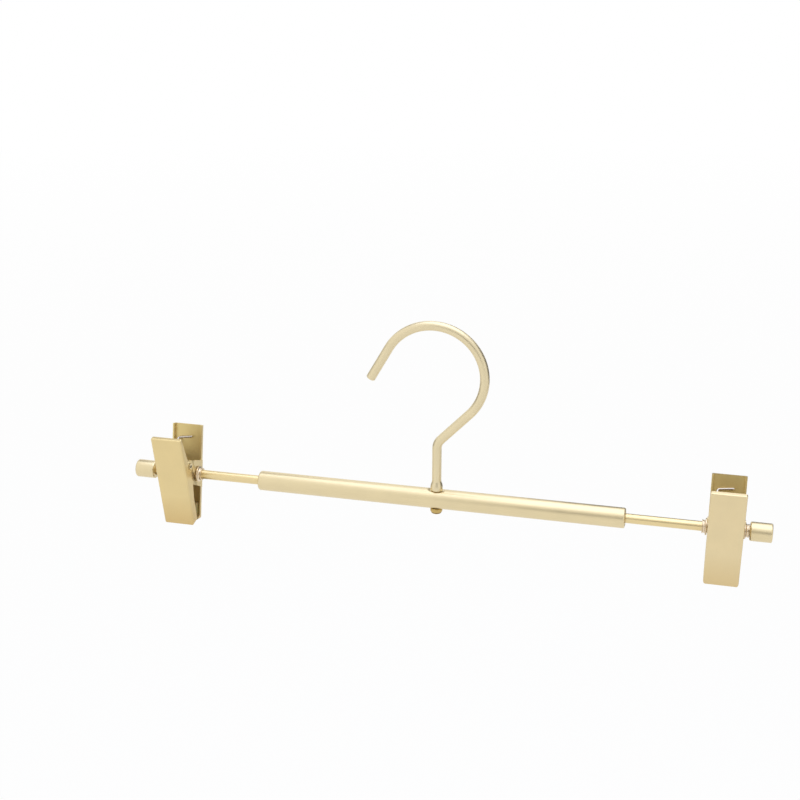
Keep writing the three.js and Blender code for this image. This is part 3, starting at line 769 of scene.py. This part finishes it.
def bar_side(side):
    """One side's plug, rod and knob."""
    hand = -1 if side == "left" else 1
    plug, rod, knob = f"{side}_tube_plug", f"{side}_rod", f"{side}_knob"
    rod_radius = size_of(rod).z / 2
    bore = rod_radius + TURN_GAP
    plug_near, plug_far = ends(plug)
    rod_near, rod_far = ends(rod)
    knob_near, knob_far = ends(knob)
    plug_radius = size_of(plug).z / 2
    knob_radius = size_of(knob).z / 2
    ring = fillet([
        (plug_near, bore, PLUG_EDGE / 2),
        (plug_near, plug_radius, PLUG_EDGE),
        (plug_far, plug_radius, PLUG_EDGE),
        (plug_far, bore, PLUG_EDGE / 2),
    ], closed=True)
    bar = fillet([
        (rod_near, 0),
        (rod_near, rod_radius, ROD_EDGE),
        (rod_far, rod_radius, ROD_EDGE),
        (rod_far, 0),
    ])
    stop = fillet([
        (knob_near + KNOB_BORE_DEPTH, 0),
        (knob_near + KNOB_BORE_DEPTH, bore),
        (knob_near, bore, ROD_EDGE),
        (knob_near, knob_radius, KNOB_EDGE),
        (knob_far, knob_radius, KNOB_EDGE),
        (knob_far, 0),
    ])
    for name, shape, finish, node in (
        (f"{side}_plug_ring", revolve(ring, closed=True), champagne, plug),
        (f"{side}_rod_bar", revolve(bar), champagne_rod, rod),
        (f"{side}_stop_knob", revolve(stop), champagne, knob),
    ):
        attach(new_piece(name, placed(shape, BAR_AXIS, hand), finish, [node]), "bar")


# Clips

def clip_sleeve(side):
    """The sleeve that runs on the rod, with a rim, a flare and a rolled bead at each end."""
    node = f"{side}_sleeve"
    centre = middle(node)
    end = size_of(node).x / 2
    rim_radius = size_of(node).z / 2
    bore = size_of(f"{side}_rod").z / 2 + SLEEVE_GAP
    rim_face = size_of(f"{side}_front_jaw").x / 2 + SEAT_GAP
    rim_end = rim_face + RIM_THICKNESS
    bead_start = rim_end + FLARE_LENGTH + COLLAR_LENGTH
    flare = []
    top = rim_radius - RIM_EDGE
    for a in spaced(0, math.pi / 2, FILLET_STEPS)[1:]:
        along = rim_end + FLARE_LENGTH * (1 - math.cos(a))
        flare.append((along, top - (top - COLLAR_RADIUS) * math.sin(a)))
    half = [
        (rim_face, bore + SLEEVE_WALL),
        (rim_face, rim_radius, RIM_EDGE),
        (rim_end, rim_radius, RIM_BACK_EDGE),
        *flare,
        (bead_start, COLLAR_RADIUS),
        (bead_start + BEAD_EDGE, BEAD_RADIUS, BEAD_FOOT_EDGE),
        (end, BEAD_RADIUS, BEAD_EDGE),
        (end, bore, BEAD_EDGE / 2),
    ]
    shape = revolve(fillet(both_ends(half), closed=True), closed=True)
    piece = new_piece(f"{side}_sleeve_ring", placed(shape, centre), pale_plated, [node])
    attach(piece, f"{side}_runner")


def clip_pin(side):
    """The hollow rivet that the jaws turn on, with painted shade in its bore."""
    node = f"{side}_pivot_pin"
    end = size_of(node).x / 2
    head_radius = size_of(node).z / 2
    half = [
        (end - PIN_HEAD, PIN_RADIUS),
        (end - PIN_HEAD, head_radius, PIN_EDGE / 2),
        (end, head_radius, PIN_EDGE),
        (end, PIN_BORE, PIN_EDGE),
    ]
    shape = revolve(fillet(both_ends(half), closed=True), closed=True)
    centre = middle(node)
    piece = new_piece(f"{side}_pin_rivet", placed(shape, centre), champagne, [node])
    # Painted shade for the faces inside the bore
    piece.data.materials.append(bore_painted_shade)
    for face in piece.data.polygons:
        if (face.center - centre).yz.length < PIN_BORE:
            face.material_index = 1
    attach(piece, f"{side}_clip")


def turned(y, z, tilt):
    """Depth and height of a point of a jaw's own frame, which leans by a tilt."""
    return Vector((y * math.cos(tilt) - z * math.sin(tilt), y * math.sin(tilt) + z * math.cos(tilt)))


def clip_spring(side):
    """A bar on the rear jaw, a leg, the curls round the pin, a leg and a bar on the front jaw."""
    centre_x = middle(f"{side}_front_jaw").x
    pivot = pivot_place(side)
    seat = SHEET + SEAT_GAP + SPRING_WIRE
    rear_bar = ROD_PLACE + turned(ROD_DEPTH - seat, REAR_RISE - SPRING_BAR_DROP, REAR_TILT)
    front_bar = pivot + turned(seat - PIVOT_DEPTH, FRONT_RISE - SPRING_BAR_DROP, FRONT_TILT)
    rear_angle = tangent_angle(rear_bar, pivot, SPRING_RADIUS, -1)
    front_angle = tangent_angle(front_bar, pivot, SPRING_RADIUS, 1)
    turns = SPRING_CURLS + ((rear_angle - front_angle) % math.tau) / math.tau
    half = size_of(f"{side}_front_jaw").x / 2 - SHEET - TURN_GAP - SHEET - SPRING_MARGIN - SPRING_WIRE

    def at(x, place):
        return Vector((centre_x + x, place[0], place[1]))

    def bar(x, end, towards, hand, tilt):
        """A bar and its bend into the leg, from the free end, which climbs the jaw a little."""
        corner = at(x, end)
        climb = Vector((0, *turned(0, 1, tilt)))
        inward = Vector((-hand * math.cos(SPRING_BAR_TILT), 0, 0)) + climb * math.sin(SPRING_BAR_TILT)
        leg = (at(x, towards) - corner).normalized()
        opening = inward.angle(leg)
        centre = corner + (inward + leg).normalized() * SPRING_BEND / math.sin(opening / 2)
        start = corner + inward * SPRING_BEND / math.tan(opening / 2)
        axis = leg.cross(inward)
        free = spaced(corner + inward * SPRING_BAR_LENGTH, start, BEND_STEPS)
        angles = spaced(0, math.pi - opening, BEND_STEPS)
        arc = [centre + Quaternion(axis, a) @ (start - centre) for a in angles]
        return free[:-1] + arc

    rear_touch = on_circle(pivot, SPRING_RADIUS, rear_angle)
    front_touch = on_circle(pivot, SPRING_RADIUS, front_angle)
    rear = bar(-half, rear_bar, rear_touch, -1, REAR_TILT)
    front = bar(half, front_bar, front_touch, 1, FRONT_TILT)
    points = rear + spaced(rear[-1], at(-half, rear_touch), BEND_STEPS)[1:-1]
    steps = round(turns * CURL_STEPS)
    for i in range(steps + 1):
        angle = rear_angle - i / steps * turns * math.tau
        points.append(at(-half + i / steps * half * 2, on_circle(pivot, SPRING_RADIUS, angle)))
    points += spaced(at(half, front_touch), front[-1], BEND_STEPS)[1:-1] + front[::-1]
    radii = [SPRING_WIRE] * len(points)
    radii[0] = radii[-1] = SPRING_END
    shape = sweep(points, radii, SPRING_ROUND)
    piece = new_piece(f"{side}_spring_wire", shape, bare_steel, [f"{side}_spring"])
    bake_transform(piece)


def clip_jaw(node):
    """Keeps the jaw's CAD mesh as it is, with its finish and softened edges."""
    jaw = frame["nodes"][node]
    jaw.data.materials.clear()
    jaw.data.materials.append(jaw_finishes[node])
    count = len(jaw.data.polygons)
    jaw.data.polygons.foreach_set("material_index", [0] * count)
    jaw.data.polygons.foreach_set("use_smooth", [True] * count)
    weld = jaw.modifiers.new("weld", "WELD")
    weld.merge_threshold = WELD_DISTANCE
    flat = jaw.modifiers.new("flat", "DECIMATE")
    flat.decimate_type = "DISSOLVE"
    flat.angle_limit = FLAT_ANGLE
    soften(jaw, SHEET_EDGE, SHEET_EDGE_ANGLE)
    normals = jaw.modifiers.new("normals", "WEIGHTED_NORMAL")
    normals.keep_sharp = False


def grip_pad(side, jaw, tilt, pivot, plate, inward, low):
    """A moulded block between a jaw's plate and the grip plane, with ribs across its face."""
    node = f"{side}_{jaw}_pad"
    box_low, box_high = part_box(node)
    face = box_high.y if inward > 0 else box_low.y
    back = plate + inward * (SHEET + SEAT_GAP)
    foot = low + SHEET + SEAT_GAP

    def on_plane(depth, height):
        """Distance from the plate, in the jaw's frame, of the upright plane at a depth and height."""
        return (depth - pivot.x + height * math.sin(tilt)) / math.cos(tilt)

    points = [Vector((back, foot))]
    for share in spaced(0, 1, PAD_RIBS * RIB_STEPS):
        height = foot + PAD_HEIGHT * share
        wave = (1 - math.cos(math.tau * PAD_RIBS * share)) / 2
        points.append(Vector((on_plane(face - inward * PAD_RIB_DEPTH * (1 - wave), height), height)))
    head = foot + PAD_HEIGHT
    points.append(Vector((points[-1].x - inward * PAD_EDGE, head + PAD_EDGE)))
    points.append(Vector((back + inward * PAD_EDGE, head + PAD_EDGE)))
    points.append(Vector((back, head)))
    half = size_of(node).x / 2
    centre_x = middle(node).x
    outline = [pivot + turned(p.x, p.y, tilt) for p in points]
    vertices = [Vector((centre_x + x, p.x, p.y)) for x in (-half, half) for p in outline]
    count = len(outline)
    faces = [(i, (i + 1) % count, (i + 1) % count + count, i + count) for i in range(count)]
    faces += [tuple(range(count)), tuple(range(count, 2 * count))]
    piece = new_piece(f"{node}_rubber", (vertices, faces), soft_pad, [node])
    soften(piece, PAD_ROUNDING, PAD_EDGE_ANGLE)
    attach(piece, f"{side}_lever" if jaw == "front" else f"{side}_clip")


def clip(side):
    """One clip: sleeve, pin, spring, two jaws and two pads."""
    clip_sleeve(side)
    clip_pin(side)
    clip_spring(side)
    clip_jaw(f"{side}_front_jaw")
    clip_jaw(f"{side}_rear_jaw")
    grip_pad(side, "front", FRONT_TILT, pivot_place(side), -PIVOT_DEPTH, 1, -FRONT_DROP)
    grip_pad(side, "rear", REAR_TILT, ROD_PLACE, ROD_DEPTH, -1, -REAR_DROP)


hook()
stem_rivet()
washer()
centre_tube()
for each_side in SIDES:
    bar_side(each_side)
    clip(each_side)


# Stage, light and camera

def plane(name, corners, material):
    """A flat piece of the stage."""
    mesh = bpy.data.meshes.new(name)
    mesh.from_pydata(corners, [], [(0, 1, 2, 3)])
    mesh.materials.append(material)
    made = add_object(name, mesh)
    return made


def floor():
    """Pale floor that looks white, keeps the shadow and meets the white sky far away."""
    finish = Nodes(bpy.data.materials.new("floor"))
    plain = finish.add("ShaderNodeBsdfDiffuse", {"Color": colour(FLOOR_COLOUR)}).outputs[0]
    white = finish.add("ShaderNodeEmission", {"Color": WHITE, "Strength": 1.0}).outputs[0]
    place = finish.add("ShaderNodeTexCoord").outputs["Object"]
    away = finish.add("ShaderNodeVectorMath", {0: place}, operation="LENGTH").outputs["Value"]
    clear = finish.span(away, FLOOR_WHITE_SHARE, 1.0, start=FLOOR_NEAR, end=FLOOR_FAR)
    share = finish.combine(finish.seen_or_mirrored(), clear, "MULTIPLY")
    mixed = finish.add("ShaderNodeMixShader", {0: share, 1: plain, 2: white}).outputs[0]
    half, z = FLOOR_SIZE / 2, cad_low.z - FLOOR_DROP
    corners = [(-half, -half, z), (half, -half, z), (half, half, z), (-half, half, z)]
    plane("floor", corners, finish.end(mixed))


def world():
    """Even grey light, which the camera and the metal see as white."""
    made = bpy.data.worlds.new("studio")
    bpy.context.scene.world = made
    nodes = Nodes(made)
    level = nodes.span(nodes.seen_or_mirrored(), WORLD_LEVEL, 1.0, start=0.0, end=1.0)
    sky = nodes.add("ShaderNodeBackground", {"Color": WHITE, "Strength": level}).outputs[0]
    nodes.end(sky, "ShaderNodeOutputWorld")


def direction(azimuth, elevation):
    """The way to a place seen from the hanger, with azimuth 0 straight before it."""
    azimuth, elevation = math.radians(azimuth), math.radians(elevation)
    return Vector((
        math.sin(azimuth) * math.cos(elevation),
        -math.cos(azimuth) * math.cos(elevation),
        math.sin(elevation),
    ))


def card(name, azimuths, elevations, tone):
    """A grey card that only shows in the metal, between two azimuths and two elevations in degrees."""
    finish = Nodes(bpy.data.materials.new(name))
    grey = finish.add("ShaderNodeEmission", {"Color": colour(tone), "Strength": 1.0}).outputs[0]
    left, right = azimuths
    low, high = elevations
    places = ((left, low), (right, low), (right, high), (left, high))
    corners = [BAR_AXIS + direction(*place) * CARD_DISTANCE for place in places]
    made = plane(name, corners, finish.end(grey))
    made.visible_camera = False
    made.visible_diffuse = False
    made.visible_transmission = False
    made.visible_shadow = False


def lamp(name, place, size, power, code="#ffffff", mirrored=True):
    """A soft lamp that faces the bar."""
    data = bpy.data.lights.new(name, "AREA")
    data.shape = "RECTANGLE"
    data.size, data.size_y = size
    data.energy = power
    data.color = colour(code)[:3]
    light = add_object(name, data)
    light.location = place
    light.rotation_mode = "QUATERNION"
    light.rotation_quaternion = (BAR_AXIS - Vector(place)).to_track_quat("-Z", "Y")
    light.visible_glossy = mirrored


def camera():
    """The photograph's view, with the bar's middle at its place in the picture."""
    data = bpy.data.cameras.new("camera")
    data.sensor_width = SENSOR
    data.lens = FOCAL_PIXELS / PHOTO_SIZE * SENSOR
    data.clip_start = CLIP_START
    data.clip_end = CLIP_END
    back = direction(CAMERA_AZIMUTH, CAMERA_ELEVATION)
    right = Vector((0, 0, 1)).cross(back).normalized()
    up = back.cross(right)
    across = (MIDDLE_PIXEL[0] - PHOTO_SIZE / 2) / FOCAL_PIXELS
    down = (MIDDLE_PIXEL[1] - PHOTO_SIZE / 2) / FOCAL_PIXELS
    place = BAR_AXIS + (back - right * across + up * down) * CAMERA_DISTANCE
    seen = add_object("camera", data)
    axes = Matrix((right, up, back)).transposed()
    seen.matrix_world = Matrix.Translation(place) @ axes.to_4x4()
    bpy.context.scene.camera = seen


floor()
world()
for card_name, settings in CARDS.items():
    card(card_name, *settings)
for lamp_name, settings in LAMPS.items():
    lamp(lamp_name, **settings)
camera()
bpy.context.scene.view_settings.view_transform = "Standard"
